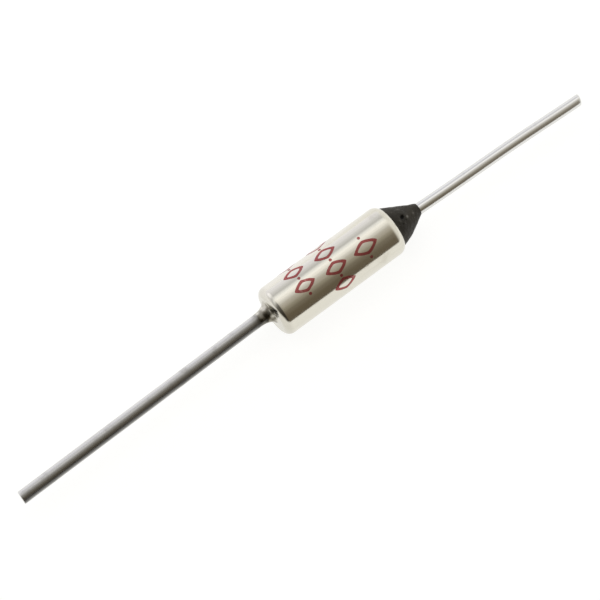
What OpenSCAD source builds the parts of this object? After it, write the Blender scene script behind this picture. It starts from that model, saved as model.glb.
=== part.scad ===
// Thermal fuse with axial leads: a one-shot cut-off in a drawn metal case.
// The axis lies along X. The origin is the middle of the case, on its axis.
// The case's own lead points along -X and the isolated lead along +X.
// Sections are drawn as radius against place along the axis, then turned round it.

/* [Case] */
// Outside diameter of the case
case_d = 4.0; // [3.4:0.1:6]
// Length of the case, from the face of its closed end to the crest of its rolled lip
case_len = 11.0; // [9.6:0.1:16]
// Wall of the case along its bore
case_wall = 0.3; // [0.22:0.01:0.4]
// Thickness of the closed end
floor_t = 0.35; // [0.25:0.05:0.6]
// Outside radius of the shoulder round the closed end
shoulder_r = 0.6; // [0.35:0.05:0.9]
// Outside radius of the rolled lip at the open end
roll_r = 0.7; // [0.5:0.05:0.9]
// How far the rolled lip reaches in from the outside of the case
lip_reach = 0.5; // [0.4:0.05:0.7]
// Width of the step in the bore that the bushing sits on
seat_step = 0.1; // [0.05:0.01:0.15]

/* [Neck] */
// Length of the neck round the case's lead
neck_len = 1.0; // [0.7:0.05:1.8]
// Wall of the neck at its mouth
neck_lip = 0.06; // [0.03:0.01:0.12]
// How much of the neck's spread, or of its length if that is less, the hollow at its foot takes up
neck_hollow = 0.86; // [0.4:0.01:0.95]
// Narrowest flat between the neck's foot and the shoulder
neck_land = 0.03; // [0.02:0.01:0.2]
// How far the neck and its lead stand off the case's axis, towards +Y
neck_offset = 0.26; // [0.05:0.01:0.35]

/* [Case lead] */
// Diameter of the lead staked in the closed end
case_lead_d = 1.0; // [0.6:0.01:1.2]
// Length of that lead outside the neck
case_lead_len = 20.95; // [8:0.05:60]
// Angle at which that lead leans off the case's axis, towards -Y
case_lead_lean = 0.8; // [0.2:0.1:6]
// Diameter of its staked head, flush with the inside of the closed end
stake_d = 1.8; // [1.5:0.05:2.2]
// Length of the staked head's taper
stake_len = 0.7; // [0.5:0.05:0.9]
// Bevel left by the cutter at the free end of both leads
lead_bevel = 0.06; // [0.02:0.01:0.12]

/* [Isolated lead] */
// Diameter of the lead that leaves through the resin
iso_lead_d = 0.9; // [0.5:0.01:1.1]
// Length of that lead outside the resin
iso_lead_len = 15.15; // [6:0.05:60]
// Angle at which that lead leans off the case's axis, towards -Y
iso_lead_lean = 2.2; // [0.2:0.1:6]
// Length of its contact head
head_len = 0.4; // [0.25:0.05:0.6]
// How far the contact head stands in from the bushing's nose
head_step = 0.05; // [0.02:0.01:0.15]

/* [Pellet and discs] */
// Length of the fusible pellet
pellet_len = 2.8; // [2:0.1:3.6]
// Thickness of the two pressure discs
disc_t = 0.2; // [0.1:0.02:0.3]
// Radial clearance of the pellet and the discs in the bore
slide_gap = 0.05; // [0.02:0.01:0.1]

/* [Springs] */
// Wire diameter of the main spring
main_wire = 0.28; // [0.18:0.02:0.36]
// Radial clearance of the main spring in the bore
main_gap = 0.12; // [0.06:0.02:0.25]
// Pitch that the main spring's working turns come close to
main_pitch = 0.62; // [0.45:0.02:0.9]
// Wire diameter of the trip spring
trip_wire = 0.16; // [0.1:0.02:0.22]
// Radial clearance of the trip spring round the bushing's nose
trip_gap = 0.08; // [0.04:0.02:0.16]
// Pitch that the trip spring's working turns come close to
trip_pitch = 0.5; // [0.3:0.02:0.8]
// Clearance between the closed turns at a spring's ends
turn_gap = 0.02; // [0.01:0.01:0.05]

/* [Star contact] */
// Sheet thickness of the sliding contact
star_t = 0.14; // [0.08:0.02:0.2]
// Number of fingers that touch the bore
star_fingers = 8; // [5:1:10]
// Width of the slots between the fingers
star_slot = 0.3; // [0.15:0.05:0.4]
// Angle at which the fingers rise from the flat middle
star_rise = 40; // [25:1:50]
// Clearance between the trip spring and the foot of the fingers
star_gap = 0.08; // [0.04:0.02:0.15]

/* [Bushing] */
// Length of the bushing's wide part
bushing_len = 1.9; // [1.4:0.1:2.6]
// Diameter of the nose that the trip spring goes round
nose_d = 1.5; // [1.3:0.05:1.7]
// Length of that nose
nose_len = 2.2; // [1.6:0.1:2.8]
// Clearance of the bushing in the case, and of the lead in the bushing
bushing_gap = 0.02; // [0.01:0.01:0.05]
// Diameter of the dish in the bushing's outer end that keys the resin
dish_d = 1.9; // [1.4:0.1:2.2]
// Depth of that dish
dish_depth = 0.4; // [0.2:0.05:0.8]

/* [Resin] */
// Length of the resin cone outside the rolled lip
resin_len = 2.4; // [1.6:0.1:4]
// How far the resin laps out over the rolled lip
resin_lap = 0.13; // [0.06:0.01:0.18]
// How far the resin's edge reaches back over the lip, as a share of the lip's wall
resin_back = 0.75; // [0.5:0.05:0.9]
// Thickness of the resin round the lead at the cone's tip
resin_tip = 0.04; // [0.03:0.01:0.2]

/* [Hidden] */
$fn = 96;

// How far a cutter runs past the surface that it opens
over = 0.2;
// How far outside the neck or the resin a lead bends, and how much it swells there
bend_out = 0.15;
bend_swell = 0.015;
// Sides of a spring's wire, and rings along one turn of it
wire_sides = 12;
turn_rings = 24;
// Closed turns at each end of a spring
closed_turns = 1;

// Radii
case_r = case_d / 2;
bore_r = case_r - case_wall;
seat_r = bore_r + seat_step;
lip_wall = case_r - seat_r;
mouth_r = case_r - lip_reach;
case_corner_r = max(shoulder_r - case_wall, over / 4);
slide_r = bore_r - slide_gap;
case_lead_r = case_lead_d / 2;
iso_lead_r = iso_lead_d / 2;
stake_r = stake_d / 2;
nose_r = nose_d / 2;
head_r = nose_r - head_step;
iso_bore_r = iso_lead_r + bushing_gap;
bushing_r = seat_r - bushing_gap;
main_r = bore_r - main_gap - main_wire / 2;
trip_r = nose_r + trip_gap + trip_wire / 2;
star_flat_r = trip_r + trip_wire / 2 + star_gap;

// Places along the axis, from the closed end inwards
face_x = -case_len / 2;
neck_x = face_x - neck_len;
case_bend_x = neck_x - bend_out;
floor_x = face_x + floor_t;
pellet_x = floor_x + pellet_len;
main_start_x = pellet_x + disc_t;

// The rolled lip's centre, which the bushing's rounded edge shares
roll_centre_r = case_r - roll_r;
lip_x = case_len / 2;
roll_x = lip_x - sqrt(roll_r * roll_r - (mouth_r - roll_centre_r) * (mouth_r - roll_centre_r));
bushing_edge_r = roll_r - lip_wall - bushing_gap;

// Places along the axis, from the open end inwards
bushing_x = roll_x + bushing_edge_r;
seat_x = bushing_x - bushing_len;
nose_x = seat_x - nose_len;
head_x = nose_x - head_len;
star_x = head_x - star_t;
main_end_x = star_x - disc_t;
dish_x = bushing_x - dish_depth;
tip_x = lip_x + resin_len;
iso_bend_x = tip_x + bend_out;

// The neck's straight side: it leaves the mouth and touches the hollow at its foot, both given as
// radius and distance in front of the closed end
neck_mouth = [case_lead_r + neck_lip, neck_len];
neck_foot_r = case_r - shoulder_r - neck_land - neck_offset;
neck_fillet = neck_hollow * min(neck_foot_r - neck_mouth[0], neck_len);
neck_foot = [neck_foot_r, neck_fillet];
neck_reach = norm(neck_foot - neck_mouth);
neck_angle = atan2(neck_foot[1] - neck_mouth[1], neck_foot[0] - neck_mouth[0])
    - asin(neck_fillet / neck_reach);
neck_side = sqrt(neck_reach * neck_reach - neck_fillet * neck_fillet);
neck_touch = neck_mouth + neck_side * [cos(neck_angle), sin(neck_angle)];

// Turns a section round the axis
module turned() {
    rotate([0, 90, 0])
        rotate_extrude()
            children();
}

// A ring's section, from one radius to another and from one place on the axis to another
module band(r0, r1, x0, x1) {
    translate([r0, x0])
        square([r1 - r0, x1 - x0]);
}

// What a round takes off a section's outer corner at radius r and place x, on its +X side or its -X side
module corner_waste(r, x, round_r, side) {
    low = side > 0 ? x - round_r : x - over;
    difference() {
        band(r - round_r, r + over, low, low + round_r + over);
        translate([r - round_r, x - side * round_r])
            circle(round_r);
    }
}

// Moves what is centred on the neck off the case's axis
module at_neck() {
    translate([0, neck_offset, 0])
        children();
}

// Section of the case's outside without its neck, filled to the axis
module can_outline() {
    roll_top_x = roll_x + roll_r;
    difference() {
        band(0, case_r, face_x, roll_top_x);
        corner_waste(case_r, face_x, shoulder_r, -1);
        corner_waste(case_r, roll_top_x, roll_r, 1);
    }
}

// Section of the neck's outside, rooted in the closed end
module neck_outline() {
    root_x = face_x + floor_t / 2;
    difference() {
        polygon([
            [0, neck_x],
            [neck_mouth[0], neck_x],
            [neck_touch[0], face_x - neck_touch[1]],
            [neck_foot_r, face_x],
            [neck_foot_r, root_x],
            [0, root_x]
        ]);
        translate([neck_foot_r, face_x - neck_fillet])
            circle(neck_fillet);
    }
}

// Section of the room inside the case
module case_room() {
    difference() {
        band(0, bore_r, floor_x, seat_x + over);
        corner_waste(bore_r, floor_x, case_corner_r, -1);
    }
    difference() {
        band(0, seat_r, seat_x, roll_x + roll_r - lip_wall);
        corner_waste(seat_r, roll_x + roll_r - lip_wall, roll_r - lip_wall, 1);
    }
    band(0, mouth_r, seat_x, roll_x + roll_r + over);
}

// Section of the staked head and the part of the lead that the neck holds, out to place x
module stake_section(x) {
    polygon([
        [0, floor_x],
        [stake_r, floor_x],
        [case_lead_r, floor_x - stake_len],
        [case_lead_r, x],
        [0, x]
    ]);
}

module bushing_section() {
    difference() {
        union() {
            difference() {
                band(0, bushing_r, seat_x, bushing_x);
                corner_waste(bushing_r, bushing_x, bushing_edge_r, 1);
            }
            band(0, nose_r, nose_x, seat_x + over);
        }
        band(0, iso_bore_r, nose_x - over, bushing_x + over);
        polygon([
            [0, dish_x],
            [iso_bore_r, dish_x],
            [dish_d / 2, bushing_x],
            [dish_d / 2, bushing_x + over],
            [0, bushing_x + over]
        ]);
    }
}

// Section of the resin: a plug in the mouth and the bushing's dish, and the cone that laps over the lip
module resin_section() {
    base_r = mouth_r + resin_lap;
    tip_r = iso_lead_r + resin_tip;
    lap_drop = lip_wall * resin_back;
    lap_r = base_r + lap_drop * (base_r - tip_r) / resin_len;
    difference() {
        union() {
            band(0, mouth_r, dish_x, lip_x);
            polygon([
                [0, lip_x - lap_drop],
                [lap_r, lip_x - lap_drop],
                [tip_r, tip_x],
                [0, tip_x]
            ]);
        }
        difference() {
            can_outline();
            case_room();
        }
        bushing_section();
        band(0, iso_lead_r, dish_x - over, tip_x + over);
    }
}

// A lead's bend at place x, and the leaning stretch from there to its bevelled free end
module leaning_wire(x, d, len, lean, side) {
    translate([x, 0, 0]) {
        sphere(d / 2 + bend_swell);
        rotate([0, 0, lean])
            turned()
                polygon([
                    [0, 0],
                    [d / 2, 0],
                    [d / 2, side * (len - lead_bevel)],
                    [d / 2 - lead_bevel, side * len],
                    [0, side * len]
                ]);
    }
}

// Height of a spring's wire after n turns: closed turns at both ends, working turns between
function coil_height(n, turns, wire, len) =
    let (
        end_pitch = wire + turn_gap,
        end_rise = closed_turns * end_pitch,
        pitch = (len - wire - 2 * end_rise) / (turns - 2 * closed_turns)
    )
    n < closed_turns ? wire / 2 + n * end_pitch
    : n > turns - closed_turns ? len - wire / 2 - (turns - n) * end_pitch
    : wire / 2 + end_rise + (n - closed_turns) * pitch;

// A compression spring from the origin along +X: working turns as close to the pitch as the length allows
module spring(r, wire, len, pitch) {
    working = max(1, round((len - wire - 2 * closed_turns * (wire + turn_gap)) / pitch));
    turns = working + 2 * closed_turns;
    rings = turns * turn_rings;
    points = [
        for (i = [0 : rings], j = [0 : wire_sides - 1])
            let (
                around = 360 * i / turn_rings,
                side = 360 * j / wire_sides,
                reach = r + wire / 2 * cos(side)
            )
            [
                coil_height(i / turn_rings, turns, wire, len) + wire / 2 * sin(side),
                reach * cos(around),
                reach * sin(around)
            ]
    ];
    walls = [
        for (i = [0 : rings - 1], j = [0 : wire_sides - 1])
            let (
                a = i * wire_sides + j,
                b = i * wire_sides + (j + 1) % wire_sides
            )
            each [[a, b, b + wire_sides], [a, b + wire_sides, a + wire_sides]]
    ];
    first_cap = [for (j = [wire_sides - 1 : -1 : 0]) j];
    last_cap = [for (j = [0 : wire_sides - 1]) rings * wire_sides + j];
    polyhedron(points, concat(walls, [first_cap, last_cap]));
}

// A pressure disc that starts at place x
module pressure_disc(x) {
    turned()
        band(0, slide_r, x, x + disc_t);
}

module case() {
    color([0.82, 0.80, 0.75])
        difference() {
            union() {
                turned()
                    can_outline();
                at_neck()
                    turned()
                        neck_outline();
            }
            turned()
                case_room();
            at_neck()
                turned()
                    stake_section(neck_x - over);
        }
}

module case_lead() {
    color([0.76, 0.76, 0.75])
        at_neck() {
            turned()
                stake_section(case_bend_x);
            leaning_wire(case_bend_x, case_lead_d, case_lead_len - bend_out, case_lead_lean, -1);
        }
}

module thermal_pellet() {
    color([0.86, 0.80, 0.62])
        turned()
            difference() {
                band(0, slide_r, floor_x, pellet_x);
                corner_waste(slide_r, floor_x, case_corner_r, -1);
                corner_waste(slide_r, pellet_x, case_corner_r, 1);
            }
}

module pellet_disc() {
    color([0.74, 0.66, 0.46])
        pressure_disc(pellet_x);
}

module main_spring() {
    color([0.55, 0.56, 0.58])
        translate([main_start_x, 0, 0])
            spring(main_r, main_wire, main_end_x - main_start_x, main_pitch);
}

module contact_disc() {
    color([0.74, 0.66, 0.46])
        pressure_disc(main_end_x);
}

// A dished star: a flat middle, and fingers that rise from it to the bore
module star_contact() {
    finger = [cos(star_rise), sin(star_rise)];
    finger_len = (bore_r - star_flat_r) / finger[0] + star_t;
    inner_foot_r = star_flat_r - star_t * tan(star_rise / 2);
    outer_tip = [star_flat_r, star_x] + finger_len * finger;
    inner_tip = outer_tip + star_t * [-finger[1], finger[0]];
    color([0.88, 0.87, 0.84])
        difference() {
            turned()
                intersection() {
                    polygon([
                        [0, star_x],
                        [star_flat_r, star_x],
                        outer_tip,
                        inner_tip,
                        [inner_foot_r, star_x + star_t],
                        [0, star_x + star_t]
                    ]);
                    band(0, bore_r, star_x, seat_x);
                }
            for (i = [0 : star_fingers - 1])
                rotate([i * 360 / star_fingers, 0, 0])
                    translate([star_x - over, -star_slot / 2, star_flat_r])
                        cube([seat_x - star_x, star_slot, case_r]);
        }
}

module trip_spring() {
    color([0.62, 0.63, 0.64])
        translate([head_x, 0, 0])
            spring(trip_r, trip_wire, seat_x - head_x, trip_pitch);
}

module ceramic_bushing() {
    color([0.93, 0.91, 0.86])
        turned()
            bushing_section();
}

module isolated_lead() {
    color([0.83, 0.82, 0.80]) {
        turned() {
            band(0, head_r, head_x, nose_x);
            band(0, iso_lead_r, head_x, iso_bend_x);
        }
        leaning_wire(iso_bend_x, iso_lead_d, iso_lead_len - bend_out, -iso_lead_lean, 1);
    }
}

module resin_seal() {
    color([0.17, 0.17, 0.17])
        turned()
            resin_section();
}

case();
case_lead();
thermal_pellet();
pellet_disc();
main_spring();
contact_disc();
star_contact();
trip_spring();
ceramic_bushing();
isolated_lead();
resin_seal();
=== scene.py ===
import math
import bmesh
import bpy
from mathutils import Matrix, Vector, noise


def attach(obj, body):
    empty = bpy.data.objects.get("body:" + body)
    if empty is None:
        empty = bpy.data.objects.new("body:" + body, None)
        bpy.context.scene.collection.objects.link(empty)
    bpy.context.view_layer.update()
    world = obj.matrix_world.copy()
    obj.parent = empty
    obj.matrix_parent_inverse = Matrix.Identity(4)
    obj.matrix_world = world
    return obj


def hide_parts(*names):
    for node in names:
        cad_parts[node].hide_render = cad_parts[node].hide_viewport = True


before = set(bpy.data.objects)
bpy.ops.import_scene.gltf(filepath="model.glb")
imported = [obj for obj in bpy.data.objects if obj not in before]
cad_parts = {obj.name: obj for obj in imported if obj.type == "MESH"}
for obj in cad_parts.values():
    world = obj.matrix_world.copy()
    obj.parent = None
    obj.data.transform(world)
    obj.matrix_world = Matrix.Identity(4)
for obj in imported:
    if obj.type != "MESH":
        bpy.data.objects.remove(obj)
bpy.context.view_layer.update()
scene = bpy.context.scene
scene.view_settings.view_transform = "Standard"
mm = 0.001

# camera: near-vertical look, closed end nearer
cameraSetup = {
    "azimuth": -37.9,
    "elevation": 70.0,
    "lens": 120.0,
    "sensor": 36.0,
    "pixelsPerMm": 13.85,
    "caseAtPixel": (332.1, 270.5),
    "imageSide": 600,
}


def makeCamera(s):
    turn, rise = math.radians(s["azimuth"]), math.radians(s["elevation"])
    back = Vector((math.sin(turn) * math.cos(rise), -math.cos(turn) * math.cos(rise), math.sin(rise)))
    right = Vector((math.cos(turn), math.sin(turn), 0))
    up = back.cross(right)
    half = s["imageSide"] / 2
    aim = (-(s["caseAtPixel"][0] - half) * right + (s["caseAtPixel"][1] - half) * up) / s["pixelsPerMm"]
    away = s["imageSide"] * s["lens"] / s["sensor"] / s["pixelsPerMm"]
    data = bpy.data.cameras.new("photoCamera")
    data.lens = s["lens"]
    data.sensor_width = s["sensor"]
    data.clip_start, data.clip_end = 0.001, 10
    camera = bpy.data.objects.new("photoCamera", data)
    scene.collection.objects.link(camera)
    place = Matrix((right, up, back)).transposed().to_4x4()
    place.translation = (aim + back * away) * mm
    camera.matrix_world = place
    scene.camera = camera


makeCamera(cameraSetup)
print("camera placed")


# shader helpers
def addNode(tree, kind, **values):
    node = tree.nodes.new(kind)
    for key, value in values.items():
        setattr(node, key, value)
    return node


def feed(tree, target, source):
    if hasattr(source, "is_output"):
        tree.links.new(source, target)
    else:
        target.default_value = source


def calc(tree, operation, a, b, c=None, clamp=False):
    node = addNode(tree, "ShaderNodeMath", operation=operation, use_clamp=clamp)
    feed(tree, node.inputs[0], a)
    feed(tree, node.inputs[1], b)
    if c is not None:
        feed(tree, node.inputs[2], c)
    return node.outputs[0]


def fade(tree, value, low, high, first=0.0, last=1.0):
    node = addNode(tree, "ShaderNodeMapRange", interpolation_type="SMOOTHSTEP")
    for socket, source in zip(node.inputs, (value, low, high, first, last)):
        feed(tree, socket, source)
    return node.outputs[0]


# inputs 6 and 7 and output 2 are the Mix node's colour sockets
def blendColour(tree, amount, a, b):
    node = addNode(tree, "ShaderNodeMix", data_type="RGBA")
    feed(tree, node.inputs["Factor"], amount)
    feed(tree, node.inputs[6], a)
    feed(tree, node.inputs[7], b)
    return node.outputs[2]


def stretched(tree, vector, along, across):
    node = addNode(tree, "ShaderNodeVectorMath", operation="MULTIPLY")
    pull = addNode(tree, "ShaderNodeCombineXYZ")
    feed(tree, pull.inputs[0], along)
    feed(tree, pull.inputs[1], across)
    feed(tree, pull.inputs[2], across)
    tree.links.new(vector, node.inputs[0])
    tree.links.new(pull.outputs[0], node.inputs[1])
    return node.outputs[0]


def noiseOf(tree, vector, scale, detail, roughness):
    node = addNode(tree, "ShaderNodeTexNoise")
    tree.links.new(vector, node.inputs["Vector"])
    feed(tree, node.inputs["Scale"], scale)
    node.inputs["Detail"].default_value = detail
    node.inputs["Roughness"].default_value = roughness
    return node.outputs["Fac"]


def objectSpot(tree):
    spot = addNode(tree, "ShaderNodeSeparateXYZ")
    tree.links.new(addNode(tree, "ShaderNodeTexCoord").outputs["Object"], spot.inputs[0])
    return spot.outputs


def newGroup(name, inputs, outputs):
    tree = bpy.data.node_groups.new(name, "ShaderNodeTree")
    for label, value in inputs:
        socket = tree.interface.new_socket(label, in_out="INPUT", socket_type="NodeSocketFloat")
        socket.default_value = value
    for label in outputs:
        tree.interface.new_socket(label, in_out="OUTPUT", socket_type="NodeSocketFloat")
    start = addNode(tree, "NodeGroupInput")
    end = addNode(tree, "NodeGroupOutput")
    place = addNode(tree, "ShaderNodeTexCoord").outputs["Object"]
    return tree, start, end, place


# drawn marks: fine lines that run with the axis, or round it where Along is the larger
def buildDrawnMarks():
    tree, start, end, place = newGroup(
        "drawnMarks", [("Along", 200.0), ("Across", 9000.0), ("Depth", 1.0)], ["Height", "Mask"])
    pulled = stretched(tree, place, start.outputs["Along"], start.outputs["Across"])
    lines = noiseOf(tree, pulled, 1.0, 4.0, 0.6)
    mask = fade(tree, lines, 0.52, 0.70)
    tree.links.new(calc(tree, "MULTIPLY", lines, start.outputs["Depth"]), end.inputs["Height"])
    tree.links.new(mask, end.inputs["Mask"])
    return tree


# handling film: soft smears that dull a polish
def buildHandlingFilm():
    tree, start, end, place = newGroup(
        "handlingFilm", [("Scale", 500.0), ("Reach", 0.5)], ["Film", "Specks"])
    smear = noiseOf(tree, place, start.outputs["Scale"], 4.0, 0.6)
    low = calc(tree, "SUBTRACT", 0.75, calc(tree, "MULTIPLY", start.outputs["Reach"], 0.4))
    film = fade(tree, smear, low, calc(tree, "ADD", low, 0.18))
    cells = addNode(tree, "ShaderNodeTexVoronoi", feature="F1")
    tree.links.new(place, cells.inputs["Vector"])
    feed(tree, cells.inputs["Scale"], calc(tree, "MULTIPLY", start.outputs["Scale"], 6.0))
    specks = fade(tree, cells.outputs["Distance"], 0.16, 0.06)
    tree.links.new(film, end.inputs["Film"])
    tree.links.new(specks, end.inputs["Specks"])
    return tree


# pressed grain: the granular skin of cast or pressed stuff
def buildPressedGrain():
    tree, start, end, place = newGroup(
        "pressedGrain", [("Scale", 6000.0), ("Coarse", 0.3)], ["Height", "Shade"])
    fine = noiseOf(tree, place, start.outputs["Scale"], 5.0, 0.65)
    wider = calc(tree, "MULTIPLY", start.outputs["Scale"], start.outputs["Coarse"])
    coarse = noiseOf(tree, place, wider, 3.0, 0.5)
    tree.links.new(calc(tree, "ADD", fine, coarse), end.inputs["Height"])
    tree.links.new(fade(tree, coarse, 0.3, 0.7), end.inputs["Shade"])
    return tree


drawnMarks = buildDrawnMarks()
handlingFilm = buildHandlingFilm()
pressedGrain = buildPressedGrain()


def useGroup(tree, group, **values):
    node = addNode(tree, "ShaderNodeGroup", node_tree=group)
    for label, value in values.items():
        feed(tree, node.inputs[label], value)
    return node.outputs


def newMaterial(name, **sockets):
    material = bpy.data.materials.new(name)
    material.use_nodes = True
    tree = material.node_tree
    skin = tree.nodes["Principled BSDF"]
    for label, value in sockets.items():
        skin.inputs[label.replace("_", " ")].default_value = value
    return material, tree, skin


def addBump(tree, skin, height, strength, depth):
    bump = addNode(tree, "ShaderNodeBump")
    bump.inputs["Strength"].default_value = strength
    bump.inputs["Distance"].default_value = depth * mm
    tree.links.new(height, bump.inputs["Height"])
    tree.links.new(bump.outputs["Normal"], skin.inputs["Normal"])


# stain and painted shade round the staked neck: a dark patch that paints the neck's dark reflection,
# darkest on the side turned up and towards -Y; its angle in degrees from +Y over the top
stakeStainAndShade = {
    "colour": (0.10, 0.085, 0.055, 1), "rough": 0.18, "turn": 130.0,
    "patch": 0.66, "uneven": 0.8, "scale": 3.2, "seed": 4.4,
}


# a metal with drawn marks, a handling film and, where a piece has it, the neck's stain and painted shade
def metalFinish(name, s):
    material, tree, skin = newMaterial(name, Metallic=1.0)
    marks = useGroup(tree, drawnMarks, Along=s["along"], Across=s["across"], Depth=1.0)
    film = useGroup(tree, handlingFilm, Scale=s["filmScale"], Reach=s["filmReach"])
    tint = blendColour(tree, film["Film"], s["colour"], s["dull"])
    worn = calc(tree, "MULTIPLY", marks["Mask"], s["markShade"])
    stainAndShade = addNode(tree, "ShaderNodeAttribute", attribute_name="stakeStainAndShade").outputs["Fac"]
    clean = blendColour(tree, worn, tint, s["dull"])
    # the neck's stain and painted shade is laid into the base colour here
    tree.links.new(blendColour(tree, stainAndShade, clean, stakeStainAndShade["colour"]), skin.inputs["Base Color"])
    rough = calc(tree, "MULTIPLY_ADD", film["Film"], s["filmRough"], s["rough"])
    rough = calc(tree, "MULTIPLY_ADD", stainAndShade, stakeStainAndShade["rough"], rough)
    rough = calc(tree, "MULTIPLY_ADD", marks["Mask"], s["markRough"], rough)
    tree.links.new(rough, skin.inputs["Roughness"])
    addBump(tree, skin, marks["Height"], s["bump"], s["bumpDepth"])
    return material


# a cast or pressed stuff with grain and specks, and, where a piece carries cast marks, painted glints on
# its bumps and painted shade in its pits
def grainFinish(name, s):
    material, tree, skin = newMaterial(name, Metallic=0.0, Specular_IOR_Level=s["specular"])
    grain = useGroup(tree, pressedGrain, Scale=s["grain"], Coarse=s["coarse"])
    film = useGroup(tree, handlingFilm, Scale=s["filmScale"], Reach=s["filmReach"])
    body = blendColour(tree, grain["Shade"], s["colour"], s["other"])
    flecks = calc(tree, "MULTIPLY", film["Specks"], s["specks"])
    pitShadeAndGlints = addNode(tree, "ShaderNodeAttribute", attribute_name="castShadeAndGlints").outputs["Fac"]
    # pale specks, and painted glints on the bumps
    pale = calc(tree, "MAXIMUM", flecks, calc(tree, "MULTIPLY", pitShadeAndGlints, grain["Shade"]), clamp=True)
    # painted shade in the pits
    pitShading = calc(tree, "MULTIPLY", pitShadeAndGlints, -1.0, clamp=True)
    fleckedAndGlinted = blendColour(tree, pale, body, s["speckAndGlintColour"])
    tree.links.new(blendColour(tree, pitShading, fleckedAndGlinted, s["pitShadeColour"]), skin.inputs["Base Color"])
    rough = calc(tree, "MULTIPLY_ADD", film["Film"], s["filmRough"], s["rough"])
    tree.links.new(rough, skin.inputs["Roughness"])
    addBump(tree, skin, grain["Height"], s["bump"], s["bumpDepth"])
    return material


# scales are per metre, bump depths in mm
finishes = {
    "casePlating": {
        "colour": (0.715, 0.690, 0.605, 1), "dull": (0.62, 0.59, 0.51, 1), "rough": 0.13,
        "along": 130.0, "across": 6500.0, "markShade": 0.25, "markRough": 0.04,
        "filmScale": 420.0, "filmReach": 0.45, "filmRough": 0.05, "bump": 0.10, "bumpDepth": 0.004,
    },
    "tinnedWire": {
        "colour": (0.63, 0.62, 0.595, 1), "dull": (0.50, 0.49, 0.465, 1), "rough": 0.27,
        "along": 160.0, "across": 9000.0, "markShade": 0.35, "markRough": 0.06,
        "filmScale": 700.0, "filmReach": 0.55, "filmRough": 0.08, "bump": 0.25, "bumpDepth": 0.006,
    },
    "platedWire": {
        "colour": (0.735, 0.73, 0.71, 1), "dull": (0.60, 0.59, 0.57, 1), "rough": 0.19,
        "along": 160.0, "across": 9000.0, "markShade": 0.30, "markRough": 0.05,
        "filmScale": 700.0, "filmReach": 0.45, "filmRough": 0.06, "bump": 0.20, "bumpDepth": 0.005,
    },
    "discBrass": {
        "colour": (0.72, 0.56, 0.28, 1), "dull": (0.50, 0.38, 0.20, 1), "rough": 0.26,
        "along": 500.0, "across": 3000.0, "markShade": 0.4, "markRough": 0.08,
        "filmScale": 500.0, "filmReach": 0.5, "filmRough": 0.10, "bump": 0.2, "bumpDepth": 0.006,
    },
    "springSteel": {
        "colour": (0.50, 0.50, 0.51, 1), "dull": (0.32, 0.31, 0.30, 1), "rough": 0.30,
        "along": 2500.0, "across": 2500.0, "markShade": 0.4, "markRough": 0.08,
        "filmScale": 800.0, "filmReach": 0.5, "filmRough": 0.10, "bump": 0.2, "bumpDepth": 0.005,
    },
    "contactSilver": {
        "colour": (0.88, 0.86, 0.81, 1), "dull": (0.66, 0.63, 0.56, 1), "rough": 0.22,
        "along": 500.0, "across": 4000.0, "markShade": 0.35, "markRough": 0.06,
        "filmScale": 600.0, "filmReach": 0.55, "filmRough": 0.12, "bump": 0.2, "bumpDepth": 0.005,
    },
}
stuffs = {
    "charcoalResin": {
        "colour": (0.018, 0.0155, 0.0105, 1), "other": (0.036, 0.0315, 0.0225, 1), "rough": 0.56,
        "specular": 0.2, "grain": 4200.0, "coarse": 0.28, "bump": 0.75, "bumpDepth": 0.045,
        "filmScale": 500.0, "filmReach": 0.5, "filmRough": -0.16, "specks": 0.30,
        "speckAndGlintColour": (0.20, 0.19, 0.17, 1), "pitShadeColour": (0.003, 0.0025, 0.0015, 1),
    },
    "pelletWax": {
        "colour": (0.72, 0.62, 0.40, 1), "other": (0.80, 0.71, 0.50, 1), "rough": 0.55,
        "specular": 0.4, "grain": 4200.0, "coarse": 0.35, "bump": 0.4, "bumpDepth": 0.025,
        "filmScale": 800.0, "filmReach": 0.5, "filmRough": -0.10, "specks": 0.30,
        "speckAndGlintColour": (0.55, 0.45, 0.27, 1), "pitShadeColour": (0.50, 0.42, 0.25, 1),
    },
    "bushingCeramic": {
        "colour": (0.83, 0.80, 0.73, 1), "other": (0.88, 0.86, 0.80, 1), "rough": 0.62,
        "specular": 0.4, "grain": 7000.0, "coarse": 0.30, "bump": 0.35, "bumpDepth": 0.015,
        "filmScale": 900.0, "filmReach": 0.4, "filmRough": -0.08, "specks": 0.20,
        "speckAndGlintColour": (0.60, 0.56, 0.48, 1), "pitShadeColour": (0.55, 0.52, 0.45, 1),
    },
}
paint = {name: metalFinish(name, s) for name, s in finishes.items()}
paint.update({name: grainFinish(name, s) for name, s in stuffs.items()})
print("finishes mixed:", ", ".join(sorted(paint)))


# mesh helpers: rings strung along the axis, each (x, y, radius, lean) in mm and radians
def ringPoint(ring, angle, swell=0.0):
    x, y, radius, lean = ring
    out = (radius + swell) * math.cos(angle)
    high = (radius + swell) * math.sin(angle)
    return Vector((x - out * math.sin(lean), y + out * math.cos(lean), high)) * mm


def strungRings(name, rings, sides, swell=None, loop=False):
    mesh = bmesh.new()
    rows = []
    for ring in rings:
        row = []
        for k in range(sides):
            angle = 2 * math.pi * k / sides
            row.append(mesh.verts.new(ringPoint(ring, angle, swell(ring, angle) if swell else 0.0)))
        rows.append(row)
    pairs = list(zip(rows, rows[1:]))
    if loop:
        pairs.append((rows[-1], rows[0]))
    for a, b in pairs:
        for k in range(sides):
            n = (k + 1) % sides
            mesh.faces.new((a[k], a[n], b[n], b[k]))
    if not loop:
        for row in (rows[0], rows[-1]):
            middle = mesh.verts.new(sum((v.co for v in row), Vector()) / sides)
            for k in range(sides):
                mesh.faces.new((row[k], row[(k + 1) % sides], middle))
    return meshPiece(name, mesh)


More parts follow.
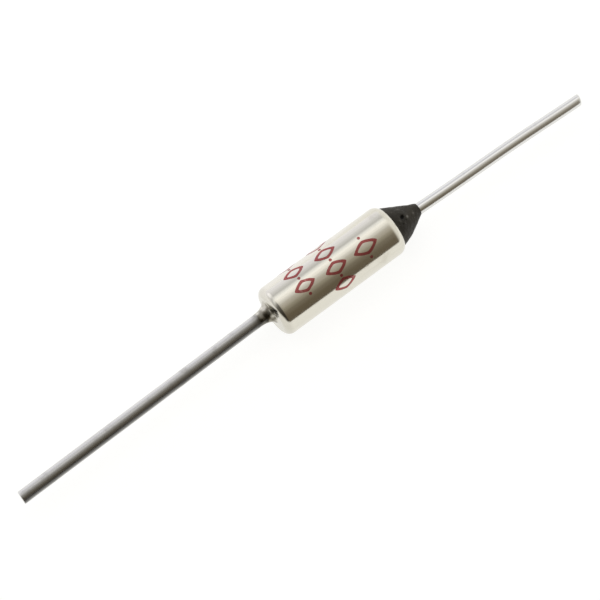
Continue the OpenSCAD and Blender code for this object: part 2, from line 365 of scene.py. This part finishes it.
def meshPiece(name, mesh, sharp=40.0):
    bmesh.ops.recalc_face_normals(mesh, faces=mesh.faces)
    data = bpy.data.meshes.new(name)
    mesh.to_mesh(data)
    mesh.free()
    for face in data.polygons:
        face.use_smooth = True
    data.set_sharp_from_angle(angle=math.radians(sharp))
    piece = bpy.data.objects.new(name, data)
    scene.collection.objects.link(piece)
    return piece


def arcRings(centreX, centreR, radius, first, last, steps):
    found = []
    for k in range(steps + 1):
        a = math.radians(first + (last - first) * k / steps)
        found.append((centreX + radius * math.cos(a), 0.0, centreR + radius * math.sin(a), 0.0))
    return found


def straightRings(a, b, steps):
    return [tuple(p + (q - p) * k / steps for p, q in zip(a, b)) for k in range(steps + 1)]


# noise over a round piece, read at another spot for each seed
def softNoise(x, angle, radius, scale, seed):
    spot = Vector((x, radius * math.cos(angle), radius * math.sin(angle))) * scale
    return noise.noise(spot + Vector((seed, seed * 1.7, seed * 0.6)))


def clamped(value):
    return max(0.0, min(1.0, value))


# a value at each point of a ringed piece, for its material to read
def markPoints(piece, name, rings, sides, amount):
    marks = piece.data.attributes.new(name, "FLOAT", "POINT")
    for k, ring in enumerate(rings):
        for n in range(sides):
            marks.data[k * sides + n].value = amount(ring, 2 * math.pi * n / sides)


def stainAndShadeAt(ring, angle, reach):
    spread = softNoise(ring[0], angle, ring[2], stakeStainAndShade["scale"], stakeStainAndShade["seed"])
    patch = stakeStainAndShade["patch"] + stakeStainAndShade["uneven"] * spread
    # painted shade: the patch is darker on the side turned towards the angle given above
    turned = 0.5 + 0.5 * math.cos(angle - math.radians(stakeStainAndShade["turn"]))
    return clamped(patch) * turned * clamped(reach)


def dress(piece, material, slot, *nodes):
    piece.data.materials.append(material)
    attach(piece, "root")
    if nodes:
        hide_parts(*nodes)
    return piece


# case: drawn can with a necked closed end and a rolled lip
canShape = {
    "radius": 2.0, "half": 5.5, "wall": 0.3, "floor": 0.35, "shoulder": 0.6, "roll": 0.7, "lipReach": 0.5,
    "seatWall": 0.2, "seatX": 3.4092, "stakeRadius": 0.9, "stakeTaper": 0.7, "leadRadius": 0.5,
    "neckLength": 1.0, "neckMouth": 0.51, "neckFoot": 1.11, "neckOffset": 0.26,
    "neckLumps": 0.03, "lumpEase": 0.15, "lumpScale": 2.6, "lumpSeed": 9.2,
    "waves": 0.0028, "waveEdge": 0.02, "waveScale": 0.45, "waveSeed": 3.1,
    "shoulderShade": 0.12, "shoulderShadeFade": 0.3, "stainShadeFade": 0.05,
    "sides": 256, "neckSteps": 30, "shoulderSteps": 28, "wallSteps": 90, "lipSteps": 18, "boreSteps": 12,
    "floorSteps": 10,
}


# where the rolled lip's arc is centred, along and out, and the mouth's radius
def lipRoll(s):
    rollR = s["radius"] - s["roll"]
    mouthR = s["radius"] - s["lipReach"]
    rollX = s["half"] - math.sqrt(s["roll"] ** 2 - (mouthR - rollR) ** 2)
    return rollX, rollR, mouthR


# one closed loop: neck, shoulder, wall and lip, then back along the bore to the staked lead
def caseRings(s):
    face, y, r = -s["half"], s["neckOffset"], s["radius"]
    mouthX, floorX = face - s["neckLength"], face + s["floor"]
    rollX, rollR, mouthR = lipRoll(s)
    bore = r - s["wall"]
    flare = s["neckFoot"] - s["neckMouth"]
    rings = [(mouthX, y, s["leadRadius"], 0.0)]
    for k in range(s["neckSteps"] + 1):  # leaves the lead's line and hollows out into the face
        a = math.pi / 2 * k / s["neckSteps"]
        rings.append((mouthX + s["neckLength"] * math.sin(a), y, s["neckFoot"] - flare * math.cos(a), 0.0))
    wallX = face + s["shoulder"]
    rings += arcRings(wallX, r - s["shoulder"], s["shoulder"], 180.0, 90.0, s["shoulderSteps"])
    rings += straightRings((wallX, 0.0, r, 0.0), (rollX, 0.0, r, 0.0), s["wallSteps"])[1:-1]
    lipTurn = math.degrees(math.acos((mouthR - rollR) / s["roll"]))
    rings += arcRings(rollX, rollR, s["roll"], 90.0, 90.0 - lipTurn, s["lipSteps"])
    innerRoll = s["roll"] - s["seatWall"]
    innerTurn = math.degrees(math.acos((mouthR - rollR) / innerRoll))
    rings += arcRings(rollX, rollR, innerRoll, 90.0 - innerTurn, 90.0, s["boreSteps"])
    rings += [(s["seatX"], 0.0, r - s["seatWall"], 0.0), (s["seatX"], 0.0, bore, 0.0)]
    corner = s["shoulder"] - s["wall"]
    rings += arcRings(floorX + corner, bore - corner, corner, 90.0, 180.0, s["floorSteps"])
    rings += [(floorX, y, s["stakeRadius"], 0.0), (floorX - s["stakeTaper"], y, s["leadRadius"], 0.0)]
    return rings


def makeCase(s):
    face = -s["half"]
    mouthX = face - s["neckLength"]
    rings = caseRings(s)

    # lumps on the neck, faint waves on the wall
    def dent(ring, angle):
        x, r = ring[0], ring[2]
        if mouthX < x < face:
            ease = min(1.0, (r - s["leadRadius"]) / s["lumpEase"]) * min(1.0, (face - x) / s["lumpEase"])
            return s["neckLumps"] * ease * softNoise(x, angle, r, s["lumpScale"], s["lumpSeed"])
        if r < s["radius"] - s["waveEdge"]:
            return 0.0
        return -s["waves"] * (0.5 + 0.5 * softNoise(x, angle, r, s["waveScale"], s["waveSeed"]))

    # the stain and painted shade end at the neck's foot, and the shoulder is painted a little darker all
    # round, a painted shade, and made a little rougher
    def stainedAndShaded(ring, angle):
        # painted shade: the shoulder takes the dark stain colour at this share
        dull = s["shoulderShade"] * clamped((face + s["shoulder"] - ring[0]) / s["shoulderShadeFade"])
        return max(dull, stainAndShadeAt(ring, angle, (face - ring[0]) / s["stainShadeFade"]))

    piece = strungRings("caseCan", rings, s["sides"], dent, loop=True)
    markPoints(piece, "stakeStainAndShade", rings, s["sides"], stainedAndShaded)
    return piece


dress(makeCase(canShape), paint["casePlating"], "case_plating", "case")
print("case turned")


# leads: stiff wires that leave their seats straight and then lean a little
caseWire = {
    "radius": canShape["leadRadius"], "bendX": -6.65, "y": canShape["neckOffset"], "lean": 0.8,
    "bow": 0.0, "bowFrom": 0.0, "length": 20.79, "cut": 3.0, "bevel": 0.03,
    "stakeX": canShape["floor"] - canShape["half"], "stainShadeX": -7.2, "stainShadeFade": 0.7,
    "sides": 96, "waves": 0.004, "waveSeed": 7.3,
}
isolatedWire = {
    "radius": 0.45, "bendX": 5.1, "y": 0.0, "lean": 1.92,
    "bow": 0.06, "bowFrom": 5.0, "length": 17.87, "cut": 13.0, "bevel": 0.06,
    "headX": 0.8092, "headLength": 0.4, "headRadius": 0.7, "headEdge": 0.03,
    "shankFrom": 0.2, "shankSteps": 12, "sides": 96, "waves": 0.003, "waveSeed": 2.9,
}
# what both wires share; bevel steps are back from the end and in from the side, times the bevel
wireForm = {
    "bendReach": 0.15, "steps": 120, "slantReach": 1.0, "waveScale": 0.8,
    "bevelFrom": 1.6, "bevelSteps": [(0.75, 0.25), (0.22, 0.85)], "faceBack": 0.004, "faceIn": 1.9,
}


# rings from the bend to the cut end, which slants: towards is -1 or 1 along the axis
def leaningRings(s, form, towards):
    lean = math.radians(s["lean"])
    turn = lean if towards < 0 else -lean
    length, radius, bevel = s["length"], s["radius"], s["bevel"]

    def at(distance, wide, ease=1.0):
        share = max(0.0, distance - s["bowFrom"]) / (length - s["bowFrom"])
        bowed = s["bow"] * math.sin(math.pi * share) ** 2
        slant = math.radians(s["cut"]) * max(0.0, distance - length + form["slantReach"])
        x = s["bendX"] + towards * distance * math.cos(lean)
        return (x, s["y"] - distance * math.sin(lean) + bowed, wide, turn * ease - slant)

    first, steps = form["bendReach"], form["steps"]
    last = length - bevel * form["bevelFrom"]
    rings = [at(0.0, radius, 0.5)]
    rings += [at(first + (last - first) * k / steps, radius) for k in range(steps + 1)]
    rings += [at(length - bevel * back, radius - bevel * inward) for back, inward in form["bevelSteps"]]
    rings.append(at(length - form["faceBack"], radius - bevel * form["faceIn"]))
    return rings


# faint waves on the wire, none on its stake or head
def wireSwell(s, form):
    def swell(ring, angle):
        if ring[2] > s["radius"] + 0.001:
            return 0.0
        wave = softNoise(ring[0], angle, ring[2], form["waveScale"], s["waveSeed"])
        return -s["waves"] * (0.5 + 0.5 * wave)
    return swell


def makeCaseWire(s, form, can):
    y, r = s["y"], s["radius"]
    rings = [(s["stakeX"], y, can["stakeRadius"], 0.0), (s["stakeX"] - can["stakeTaper"], y, r, 0.0)]
    rings.append((s["bendX"] + form["bendReach"], y, r, 0.0))
    rings += leaningRings(s, form, -1)

    # stain and painted shade on the wire next to the neck
    def stainedAndShaded(ring, angle):
        return stainAndShadeAt(ring, angle, (ring[0] - s["stainShadeX"]) / s["stainShadeFade"])

    piece = strungRings("caseLeadWire", rings, s["sides"], wireSwell(s, form))
    markPoints(piece, "stakeStainAndShade", rings, s["sides"], stainedAndShaded)
    return piece


def makeIsolatedWire(s, form):
    y, r, headR, edge = s["y"], s["radius"], s["headRadius"], s["headEdge"]
    headEnd = s["headX"] + s["headLength"]
    rings = [(s["headX"], y, headR - edge, 0.0), (s["headX"] + edge, y, headR, 0.0)]
    rings += [(headEnd, y, headR, 0.0), (headEnd, y, r, 0.0)]
    shank = (headEnd + s["shankFrom"], y, r, 0.0)
    rings += straightRings(shank, (s["bendX"] - form["bendReach"], y, r, 0.0), s["shankSteps"])
    rings += leaningRings(s, form, 1)
    return strungRings("isolatedLeadWire", rings, s["sides"], wireSwell(s, form))


dress(makeCaseWire(caseWire, wireForm, canShape), paint["tinnedWire"], "tinned_wire", "case_lead")
dress(makeIsolatedWire(isolatedWire, wireForm), paint["platedWire"], "plated_wire", "isolated_lead")
print("leads drawn")


# resin: a cast cone that laps over the rolled lip; pits and bumps are x, degrees from +Y, size and depth
resinCone = {
    "length": 2.42, "baseRadius": 1.63, "tipRadius": 0.46, "lapDrop": 0.15, "bulge": 0.11, "bulgeSkew": 1.1,
    "sag": 0.06, "follow": 0.65, "plugX": 5.31, "plugStep": 0.03, "plugGap": 0.005,
    "dishX": 4.9092, "dishRadius": 0.95, "leadGap": 0.001,
    "lumps": 0.026, "lumpScale": 1.7, "lumpSeed": 5.5, "fineShare": 0.45, "fineScale": 5.0, "fineSeed": 1.2,
    "easeIn": 8.0, "easeOut": 6.0, "markFall": 2.5, "bumpGlint": 0.03, "pitShade": 0.09,
    "sides": 384, "steps": 90, "meetSteps": 400, "lapSteps": 8,
    "pits": [
        (6.18, 100.0, 0.21, 0.17), (6.30, 97.0, 0.15, 0.09), (6.34, 114.0, 0.10, 0.05),
        (5.92, 118.0, 0.10, 0.05), (7.05, 66.0, 0.09, 0.025), (6.0, 40.0, 0.12, 0.03),
        (6.85, 140.0, 0.12, 0.03), (6.2, 205.0, 0.13, 0.04), (6.9, 255.0, 0.11, 0.03),
        (6.1, 300.0, 0.15, 0.04),
    ],
    "bumps": [
        (6.58, 107.0, 0.13, 0.035), (5.86, 108.0, 0.14, 0.035), (6.12, 119.0, 0.13, 0.035),
        (6.42, 98.0, 0.09, 0.02), (6.35, 70.0, 0.2, 0.015), (7.2, 110.0, 0.14, 0.014),
        (6.5, 330.0, 0.2, 0.02),
    ],
}


# the lap ends where the cone meets the rolled lip
def lapEnd(s, can):
    rollX, rollR = lipRoll(can)[:2]
    slope = (s["baseRadius"] - s["tipRadius"]) / s["length"]
    for k in range(s["meetSteps"]):
        back = s["lapDrop"] * (1 - k / s["meetSteps"])
        x, r = can["half"] - back, s["baseRadius"] + back * slope
        if math.hypot(x - rollX, r - rollR) >= can["roll"]:
            break
    return x, r


# one closed loop: the dished inside, the lap, then out to the tip and back to the lead
def resinRings(s, wire, can, meetX, meetR, tipX):
    rollX, rollR, mouthR = lipRoll(can)
    drift = s["follow"] * math.tan(math.radians(wire["lean"]))
    outer = []
    for k in range(s["steps"] + 1):
        t = k / s["steps"]
        x = meetX + (tipX - meetX) * t
        full = s["bulge"] * math.sin(math.pi * t) * (1 - s["bulgeSkew"] * t)
        r = meetR + (s["tipRadius"] - meetR) * t + full
        outer.append((x, -max(0.0, x - wire["bendX"]) * drift, r, 0.0))
    start = math.degrees(math.atan2(meetR - rollR, meetX - rollX))
    stop = math.degrees(math.acos((mouthR - rollR) / can["roll"]))
    under = arcRings(rollX, rollR, can["roll"], start, 90.0 - stop, s["lapSteps"])[::-1]
    onLead = wire["radius"] + s["leadGap"]
    inner = [(s["dishX"], 0.0, onLead, 0.0), (s["plugX"], 0.0, s["dishRadius"], 0.0)]
    inner += [(s["plugX"], 0.0, rollR, 0.0), (s["plugX"] - s["plugStep"], 0.0, mouthR - s["plugGap"], 0.0)]
    return inner + under[:-1] + outer + [(tipX, outer[-1][1], onLead, 0.0)]


def makeResin(s, wire, can):
    meetX, meetR = lapEnd(s, can)
    tipX = can["half"] + s["length"]
    rings = resinRings(s, wire, can, meetX, meetR, tipX)

    def near(ring, angle, mark):
        x, degrees, size, depth = mark
        about = (angle - math.radians(degrees) + math.pi) % (2 * math.pi) - math.pi
        far = math.hypot(ring[0] - x, about * ring[2]) / size
        return math.exp(-far * far * s["markFall"]) * depth

    def allNear(ring, angle, marks):
        return sum(near(ring, angle, mark) for mark in s[marks])

    def cast(ring, angle):
        x, r = ring[0], ring[2]
        if x < meetX + 0.001 or r < s["tipRadius"] - 0.01:
            return 0.0
        along = (x - meetX) / (tipX - meetX)
        ease = min(1.0, along * s["easeIn"]) * min(1.0, (1.0 - along) * s["easeOut"])
        push = s["lumps"] * softNoise(x, angle, r, s["lumpScale"], s["lumpSeed"])
        push += s["lumps"] * s["fineShare"] * softNoise(x, angle, r, s["fineScale"], s["fineSeed"])
        push -= s["sag"] * math.cos(angle) * math.sin(math.pi * along)  # set while it leaned towards -Y
        push += allNear(ring, angle, "bumps") - allNear(ring, angle, "pits")
        return push * ease

    # painted glints: pale on the bumps; painted shade: dark in the pits
    def paintedPitsAndGlints(ring, angle):
        return allNear(ring, angle, "bumps") / s["bumpGlint"] - allNear(ring, angle, "pits") / s["pitShade"]

    piece = strungRings("resinCone", rings, s["sides"], cast, loop=True)
    markPoints(piece, "castShadeAndGlints", rings, s["sides"], paintedPitsAndGlints)
    return piece


dress(makeResin(resinCone, isolatedWire, canShape), paint["charcoalResin"], "resin", "resin_seal")
print("resin cast")


# ink: three rounds of plain lozenges and dots on the case, angles in degrees from +Y over the top
inkRounds = {
    "radius": canShape["radius"], "lift": 0.0015, "stroke": 0.25, "tallStrokes": 3.0, "wideStrokes": 2.0,
    "dot": 0.12, "dotSteps": 24, "steps": 96, "across": 5, "power": 1.3, "uneven": 0.18, "pressScale": 2.2,
    "colour": (0.38, 0.068, 0.070, 1), "thin": (0.48, 0.15, 0.15, 1), "metallic": 0.78, "rough": 0.26,
    "filmScale": 1500.0, "filmReach": 0.5, "cover": 0.78, "thinCover": -0.22,
    "rounds": [
        {"x": -2.72, "tall": 1.85, "wide": 1.02, "marks": [18, 58, 98], "dots": [38, 78, 118]},
        {"x": -0.10, "tall": 1.92, "wide": 1.06, "marks": [26, 66, 106, 146], "dots": [46, 86, 126]},
        {"x": 2.52, "tall": 2.14, "wide": 1.16, "marks": [108], "dots": [84, 132]},
    ],
}


def onCase(s, x, degrees, along, about):
    turn = math.radians(degrees) + about / s["radius"]
    r = s["radius"] + s["lift"]
    return Vector((x + along, r * math.cos(turn), r * math.sin(turn))) * mm


# a lozenge with soft corners
def lozengeLine(s, tall, wide):
    line = []
    for k in range(s["steps"]):
        c, d = math.cos(2 * math.pi * k / s["steps"]), math.sin(2 * math.pi * k / s["steps"])
        line.append((tall / 2 * math.copysign(abs(c) ** (2 / s["power"]), c),
                     wide / 2 * math.copysign(abs(d) ** (2 / s["power"]), d)))
    return line


# its stroke is pressed a little thinner here and there
def printLozenge(mesh, s, row, degrees):
    stroke = s["stroke"]
    outer = lozengeLine(s, row["tall"], row["wide"])
    inner = lozengeLine(s, row["tall"] - s["tallStrokes"] * stroke, row["wide"] - s["wideStrokes"] * stroke)
    lines = []
    for (ax, ay), (bx, by) in zip(outer, inner):
        spot = Vector((ax * s["pressScale"], ay * s["pressScale"], degrees))
        press = s["uneven"] * (0.5 + 0.5 * noise.noise(spot))
        shares = [press + (1 - press) * k / s["across"] for k in range(s["across"] + 1)]
        points = [onCase(s, row["x"], degrees, ax + (bx - ax) * t, ay + (by - ay) * t) for t in shares]
        lines.append([mesh.verts.new(point) for point in points])
    for p, q in zip(lines, lines[1:] + lines[:1]):
        for k in range(s["across"]):
            mesh.faces.new((p[k], p[k + 1], q[k + 1], q[k]))


def printDot(mesh, s, row, degrees):
    middle = mesh.verts.new(onCase(s, row["x"], degrees, 0.0, 0.0))
    rim = []
    for k in range(s["dotSteps"]):
        a = 2 * math.pi * k / s["dotSteps"]
        point = onCase(s, row["x"], degrees, s["dot"] * math.cos(a), s["dot"] * math.sin(a))
        rim.append(mesh.verts.new(point))
    for k in range(s["dotSteps"]):
        mesh.faces.new((rim[k], rim[(k + 1) % s["dotSteps"]], middle))


def makeInk(s):
    mesh = bmesh.new()
    for row in s["rounds"]:
        for degrees in row["marks"]:
            printLozenge(mesh, s, row, degrees)
        for degrees in row["dots"]:
            printDot(mesh, s, row, degrees)
    return meshPiece("inkRounds", mesh)


def makeInkPaint(s):
    material, tree, skin = newMaterial("crimsonInk", Metallic=s["metallic"], Roughness=s["rough"])
    film = useGroup(tree, handlingFilm, Scale=s["filmScale"], Reach=s["filmReach"])
    tree.links.new(blendColour(tree, film["Film"], s["colour"], s["thin"]), skin.inputs["Base Color"])
    cover = calc(tree, "MULTIPLY_ADD", film["Film"], s["thinCover"], s["cover"])
    tree.links.new(cover, skin.inputs["Alpha"])
    return material


dress(makeInk(inkRounds), makeInkPaint(inkRounds), "case_plating")
print("ink printed")

# every solid gets its finish, the sealed pieces too
solidFinishes = {
    "thermal_pellet": "pelletWax", "pellet_disc": "discBrass", "contact_disc": "discBrass",
    "main_spring": "springSteel", "trip_spring": "springSteel", "star_contact": "contactSilver",
    "ceramic_bushing": "bushingCeramic", "case": "casePlating", "case_lead": "tinnedWire",
    "isolated_lead": "platedWire", "resin_seal": "charcoalResin",
}
for node, finish in solidFinishes.items():
    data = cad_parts[node].data
    data.materials.clear()
    data.materials.append(paint[finish])
print("solids finished")

# pale table that glows a little, so that it stays near white
tableTop = {
    "z": -2.0, "side": 600.0, "colour": (0.20, 0.20, 0.198, 1), "worn": (0.19, 0.19, 0.188, 1),
    "rough": 0.9, "filmScale": 20.0, "filmReach": 0.3, "glow": 0.87,
    "nearGlow": (1.015, 1.014, 1.003, 1), "farGlow": (1.14, 1.14, 1.19, 1),
    "nearY": 1.0, "farY": 7.0, "rightX": 8.0, "leftX": 2.0,
}


def makeTable(s):
    mesh = bmesh.new()
    bmesh.ops.create_grid(mesh, x_segments=4, y_segments=4, size=s["side"] * mm / 2)
    for v in mesh.verts:
        v.co.z = s["z"] * mm
    table = meshPiece("paleTable", mesh)
    material, tree, skin = newMaterial("paleTable", Roughness=s["rough"], Emission_Strength=s["glow"])
    film = useGroup(tree, handlingFilm, Scale=s["filmScale"], Reach=s["filmReach"])
    tree.links.new(blendColour(tree, film["Film"], s["colour"], s["worn"]), skin.inputs["Base Color"])
    x, y = objectSpot(tree)[:2]
    beyond = fade(tree, y, s["nearY"] * mm, s["farY"] * mm)
    left = fade(tree, x, s["rightX"] * mm, s["leftX"] * mm)
    far = calc(tree, "MULTIPLY", beyond, left)
    tree.links.new(blendColour(tree, far, s["nearGlow"], s["farGlow"]), skin.inputs["Emission Color"])
    table.data.materials.append(material)


makeTable(tableTop)

# grey flag held close along the case lead's near side, seen only in reflections: a dark sheet that paints
# shade into the lead's lower side; angles up from that side
flagShape = {
    "radius": 0.8, "from": 0.6, "to": -21.1, "steps": 48, "colour": (0.004, 0.004, 0.004, 1), "dark": 0.835,
    "low": -62.0, "lowFull": 20.0, "deepTo": 28.0, "thinFrom": 46.0, "thin": 0.64,
    "highFull": 91.0, "high": 122.0,
}


def makeFlagPaint(s):
    material, tree, skin = newMaterial("leadShadeFlag", Roughness=1.0, Specular_IOR_Level=0.0)
    skin.inputs["Base Color"].default_value = s["colour"]
    y, z = objectSpot(tree)[1:]
    turn = calc(tree, "ARCTAN2", z, calc(tree, "MULTIPLY", y, -1.0))
    turn = calc(tree, "MULTIPLY", turn, 180.0 / math.pi)
    upper = fade(tree, turn, s["highFull"], s["high"], s["dark"], 0.0)
    depth = fade(tree, turn, s["deepTo"], s["thinFrom"], 1.0, s["thin"])
    lower = fade(tree, turn, s["low"], s["lowFull"])
    # how strongly the painted shade covers, by the angle round the lead
    cover = calc(tree, "MULTIPLY", calc(tree, "MULTIPLY", upper, depth), lower)
    tree.links.new(cover, skin.inputs["Alpha"])
    return material


def makeFlag(s, wire):
    mesh = bmesh.new()
    rows = []
    for k in range(s["steps"] + 1):
        a = math.radians(s["low"] + (s["high"] - s["low"]) * k / s["steps"])
        y, z = -s["radius"] * math.cos(a), s["radius"] * math.sin(a)
        rows.append([mesh.verts.new(Vector((x, y, z)) * mm) for x in (s["to"], s["from"])])
    for p, q in zip(rows, rows[1:]):
        mesh.faces.new((p[0], p[1], q[1], q[0]))
    flag = meshPiece("leadShadeFlag", mesh)
    flag.location = Vector((wire["bendX"], wire["y"], 0.0)) * mm
    flag.rotation_euler.z = math.radians(wire["lean"])
    flag.data.materials.append(makeFlagPaint(s))
    flag.visible_camera = False
    flag.visible_diffuse = False
    flag.visible_shadow = False


makeFlag(flagShape, caseWire)

# room light: brightness by the angle up from the near side (-Y), over the top to the far side (+Y)
roomLight = [
    (0.0, (0.125, 0.100, 0.068)), (26.0, (0.148, 0.120, 0.080)), (45.0, (0.205, 0.175, 0.130)),
    (60.0, (0.34, 0.31, 0.245)), (72.0, (0.50, 0.465, 0.405)), (82.0, (0.58, 0.55, 0.50)),
    (92.0, (0.82, 0.80, 0.77)), (104.0, (1.12, 1.10, 1.08)), (114.0, (1.27, 1.26, 1.26)),
    (124.0, (1.06, 1.07, 1.09)), (135.0, (0.66, 0.66, 0.68)), (145.0, (0.80, 0.80, 0.83)),
    (158.0, (0.97, 0.97, 1.04)), (180.0, (1.13, 1.13, 1.22)),
]
leftDark = {"sideFrom": -0.22, "sideTo": -0.48, "nearFrom": 0.50, "nearTo": -0.05, "share": 0.76}
rightLight = {"sideFrom": 0.22, "sideTo": 0.78, "share": 0.90, "colour": (1.0, 0.985, 0.95, 1)}
leftCard = {
    "sideFrom": -0.55, "sideTo": -0.80, "highFrom": 0.28, "highTo": 0.10, "share": 0.75,
    "colour": (1.0, 0.98, 0.93, 1),
}
farWindow = {"toward": (-0.366, 0.808, 0.462), "edge": 0.93, "full": 0.985, "gain": 0.45}
plainGround = (0.97, 0.97, 0.97, 1)  # what the camera sees past the table


def roomBand(tree, y, z, stops):
    turn = calc(tree, "ARCTAN2", calc(tree, "MAXIMUM", z, 0.0), calc(tree, "MULTIPLY", y, -1.0))
    ramp = addNode(tree, "ShaderNodeValToRGB")
    tree.links.new(calc(tree, "DIVIDE", turn, math.pi), ramp.inputs[0])
    band = ramp.color_ramp
    band.interpolation = "EASE"
    while len(band.elements) < len(stops):
        band.elements.new(0.5)
    for element, (angle, colour) in zip(band.elements, stops):
        element.position = angle / 180
        element.color = (*colour, 1)
    return ramp.outputs[0]


# the room's strength: weaker at the near left, stronger at the far window
def roomStrength(tree, x, y, z, dark, window):
    left = fade(tree, x, dark["sideFrom"], dark["sideTo"])
    near = fade(tree, y, dark["nearFrom"], dark["nearTo"])
    light = calc(tree, "MULTIPLY_ADD", calc(tree, "MULTIPLY", left, near), -dark["share"], 1.0)
    facing = 0.0
    for part, share in zip((x, y, z), window["toward"]):
        facing = calc(tree, "MULTIPLY_ADD", part, share, facing)
    glow = fade(tree, facing, window["edge"], window["full"])
    return calc(tree, "MULTIPLY_ADD", glow, window["gain"], light)


def makeRoom(stops, dark, bright, card, window):
    world = bpy.data.worlds.new("studioRoom")
    world.use_nodes = True
    scene.world = world
    tree = world.node_tree
    tree.nodes.clear()
    spot = addNode(tree, "ShaderNodeSeparateXYZ")
    tree.links.new(addNode(tree, "ShaderNodeTexCoord").outputs["Generated"], spot.inputs[0])
    x, y, z = spot.outputs
    right = calc(tree, "MULTIPLY", fade(tree, x, bright["sideFrom"], bright["sideTo"]), bright["share"])
    shaded = addNode(tree, "ShaderNodeVectorMath", operation="SCALE")
    band = blendColour(tree, right, roomBand(tree, y, z, stops), bright["colour"])
    tree.links.new(band, shaded.inputs[0])
    tree.links.new(roomStrength(tree, x, y, z, dark, window), shaded.inputs["Scale"])
    low = calc(tree, "MULTIPLY", fade(tree, x, card["sideFrom"], card["sideTo"]),
               fade(tree, z, card["highFrom"], card["highTo"], 0.0, card["share"]))
    room = addNode(tree, "ShaderNodeBackground")
    tree.links.new(blendColour(tree, low, shaded.outputs[0], card["colour"]), room.inputs["Color"])
    plain = addNode(tree, "ShaderNodeBackground")
    plain.inputs["Color"].default_value = plainGround
    pick = addNode(tree, "ShaderNodeMixShader")
    tree.links.new(addNode(tree, "ShaderNodeLightPath").outputs["Is Camera Ray"], pick.inputs[0])
    tree.links.new(room.outputs[0], pick.inputs[1])
    tree.links.new(plain.outputs[0], pick.inputs[2])
    out = addNode(tree, "ShaderNodeOutputWorld")
    tree.links.new(pick.outputs[0], out.inputs["Surface"])


makeRoom(roomLight, leftDark, rightLight, leftCard, farWindow)
print("table and room lit")
